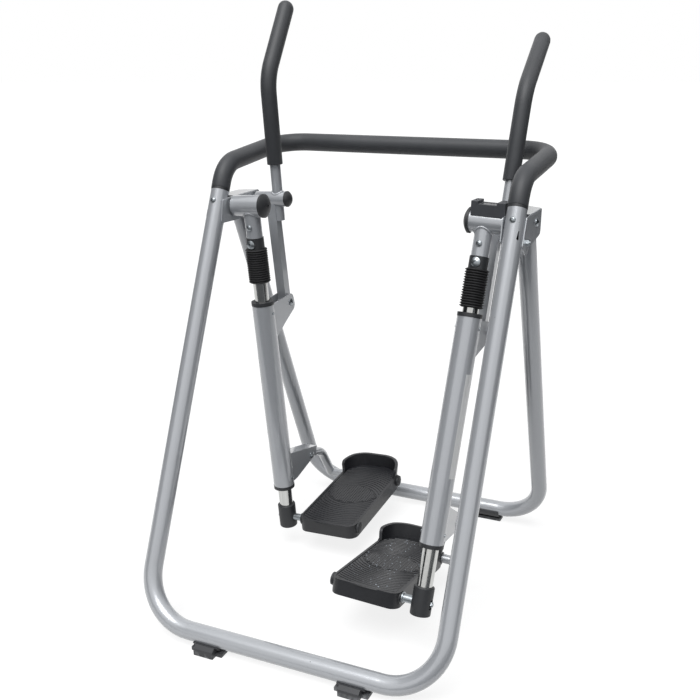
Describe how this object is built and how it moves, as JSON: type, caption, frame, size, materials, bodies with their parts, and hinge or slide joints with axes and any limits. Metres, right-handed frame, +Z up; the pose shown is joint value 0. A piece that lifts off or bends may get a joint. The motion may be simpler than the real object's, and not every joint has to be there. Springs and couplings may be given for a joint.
{
  "type": "air walker exercise machine",
  "caption": "Folding A-frame air walker: two swinging pedal legs on sliding rods, driven levers with foam hand grips, a fixed padded handlebar, and a small counter.",
  "frame": {"origin": "on the floor, at the middle of the footprint between the four feet", "axes": "+Z up, +X to the user's right, +Y forward, the way the toes point; the user steps on over the -Y bottom tube"},
  "size_m": [0.8012, 0.915, 1.3894],
  "materials": {
    "frame_enamel": "silver-grey metallic enamel, semi-gloss",
    "foam": "fine closed-cell foam, matt",
    "black_plastic": "moulded, satin",
    "pedal_plastic": "moulded with a tread of fine arcs",
    "boot_rubber": "ribbed, matt",
    "chrome_rod": "polished",
    "zinc_fastener": "zinc plated",
    "window_plastic": "dark glossy strip",
    "button_plastic": "smooth button"
  },
  "bodies": {
    "frame": {"main_frame_tube": "frame_enamel", "handlebar_tube": "frame_enamel", "handlebar_foam": "foam", "handlebar_rings": "black_plastic", "left_fold_bracket": "frame_enamel", "right_fold_bracket": "frame_enamel", "fold_pivot_bolts": "zinc_fastener", "frame_bolts": "zinc_fastener", "fold_stop_pins": "zinc_fastener", "main_feet": "black_plastic", "pivot_axles": "zinc_fastener", "counter_housing": "black_plastic", "counter_window": "window_plastic"},
    "front_frame": {"front_frame_tube": "frame_enamel", "front_feet": "black_plastic"},
    "reset_button": {"counter_button": "button_plastic"},
    "left_leg": {"left_leg_pivot_housing": "frame_enamel", "left_leg_pivot_bushes": "black_plastic", "left_leg_pivot_cap": "black_plastic", "left_leg_rod": "chrome_rod", "left_boot_sleeve": "black_plastic", "left_ribbed_boot": "boot_rubber", "left_rod_shoe": "black_plastic", "left_heel_shaft": "zinc_fastener", "left_leg_fasteners": "zinc_fastener"},
    "left_slide": {"left_slide_tube": "frame_enamel", "left_slide_bushings": "black_plastic", "left_upper_bracket": "frame_enamel", "left_lower_bracket": "frame_enamel", "left_slide_fasteners": "zinc_fastener"},
    "left_lever": {"left_lever_pivot_housing": "frame_enamel", "left_lever_bushes": "black_plastic", "left_lever_cap": "black_plastic", "left_handle_tube": "frame_enamel", "left_handle_grip": "foam"},
    "left_toe_link": {"left_toe_link": "frame_enamel"},
    "left_pedal": {"left_pedal": "pedal_plastic", "left_pedal_fittings": "black_plastic"},
    "right_leg": {"right_leg_pivot_housing": "frame_enamel", "right_leg_pivot_bushes": "black_plastic", "right_leg_pivot_cap": "black_plastic", "right_leg_rod": "chrome_rod", "right_boot_sleeve": "black_plastic", "right_ribbed_boot": "boot_rubber", "right_rod_shoe": "black_plastic", "right_heel_shaft": "zinc_fastener", "right_leg_fasteners": "zinc_fastener"},
    "right_slide": {"right_slide_tube": "frame_enamel", "right_slide_bushings": "black_plastic", "right_upper_bracket": "frame_enamel", "right_lower_bracket": "frame_enamel", "right_slide_fasteners": "zinc_fastener"},
    "right_lever": {"right_lever_pivot_housing": "frame_enamel", "right_lever_bushes": "black_plastic", "right_lever_cap": "black_plastic", "right_handle_tube": "frame_enamel", "right_handle_grip": "foam"},
    "right_toe_link": {"right_toe_link": "frame_enamel"},
    "right_pedal": {"right_pedal": "pedal_plastic", "right_pedal_fittings": "black_plastic"}
  },
  "joints": [
    {"name": "frame_fold", "type": "hinge", "parent": "frame", "child": "front_frame", "pos_m": [0, 0.079, 0.927], "axis": [-1, 0, 0], "range_deg": [0, 44]},
    {"name": "reset_press", "type": "slide", "parent": "frame", "child": "reset_button", "axis": [-0.0401, 0, -0.9992], "range_m": [0, 0.001], "stiffness_N_per_m": 200, "springref_m": -0.003},
    {"name": "left_leg_swing", "type": "hinge", "parent": "frame", "child": "left_leg", "pos_m": [-0.293, 0.0245, 0.9305], "axis": [0.9992, 0, 0.0401], "range_deg": [-27.6, 23.4]},
    {"name": "left_tube_slide", "type": "slide", "parent": "left_leg", "child": "left_slide", "axis": [0.0401, 0.0454, -0.9982], "range_m": [-0.04771, 0.04045]},
    {"name": "left_lever_swing", "type": "hinge", "parent": "frame", "child": "left_lever", "pos_m": [-0.29312, 0.1275, 0.9335], "axis": [0.9992, 0, 0.0401], "range_deg": [-27.32, 23.16]},
    {"name": "left_toe_link_turn", "type": "hinge", "parent": "left_slide", "child": "left_toe_link", "pos_m": [-0.26447, 0.18392, 0.22008], "axis": [0.9992, 0, 0.0401], "range_deg": [-0.92, 0.78]},
    {"name": "left_pedal_tilt", "type": "hinge", "parent": "left_leg", "child": "left_pedal", "pos_m": [-0.25912, 0.06283, 0.08705], "axis": [0.9992, 0, 0.0401], "range_deg": [-8.13, 9.58]},
    {"name": "right_leg_swing", "type": "hinge", "parent": "frame", "child": "right_leg", "pos_m": [0.293, 0.0245, 0.9305], "axis": [0.9992, 0, -0.0401], "range_deg": [-6.2, 44.8]},
    {"name": "right_tube_slide", "type": "slide", "parent": "right_leg", "child": "right_slide", "axis": [-0.038, -0.3223, -0.9459], "range_m": [-0.01073, 0.07743]},
    {"name": "right_lever_swing", "type": "hinge", "parent": "frame", "child": "right_lever", "pos_m": [0.29312, 0.1275, 0.9335], "axis": [0.9992, 0, -0.0401], "range_deg": [-6.15, 44.33]},
    {"name": "right_toe_link_turn", "type": "hinge", "parent": "right_slide", "child": "right_toe_link", "pos_m": [0.2655, -0.07458, 0.24591], "axis": [0.9992, 0, -0.0401], "range_deg": [-0.22, 1.48]},
    {"name": "right_pedal_tilt", "type": "hinge", "parent": "right_leg", "child": "right_pedal", "pos_m": [0.2609, -0.24782, 0.13123], "axis": [0.9992, 0, -0.0401], "range_deg": [-15.54, 2.17]}
  ],
  "couplings": [
    {"joint": "left_tube_slide", "follows": "left_leg_swing", "m_per_rad": 0.099},
    {"joint": "left_lever_swing", "follows": "left_leg_swing", "ratio": 0.989},
    {"joint": "left_toe_link_turn", "follows": "left_leg_swing", "ratio": 0.0326},
    {"joint": "left_pedal_tilt", "follows": "left_leg_swing", "ratio": -0.3465},
    {"joint": "right_tube_slide", "follows": "right_leg_swing", "m_per_rad": 0.099},
    {"joint": "right_lever_swing", "follows": "right_leg_swing", "ratio": 0.989},
    {"joint": "right_toe_link_turn", "follows": "right_leg_swing", "ratio": 0.0326},
    {"joint": "right_pedal_tilt", "follows": "right_leg_swing", "ratio": -0.3465}
  ]
}
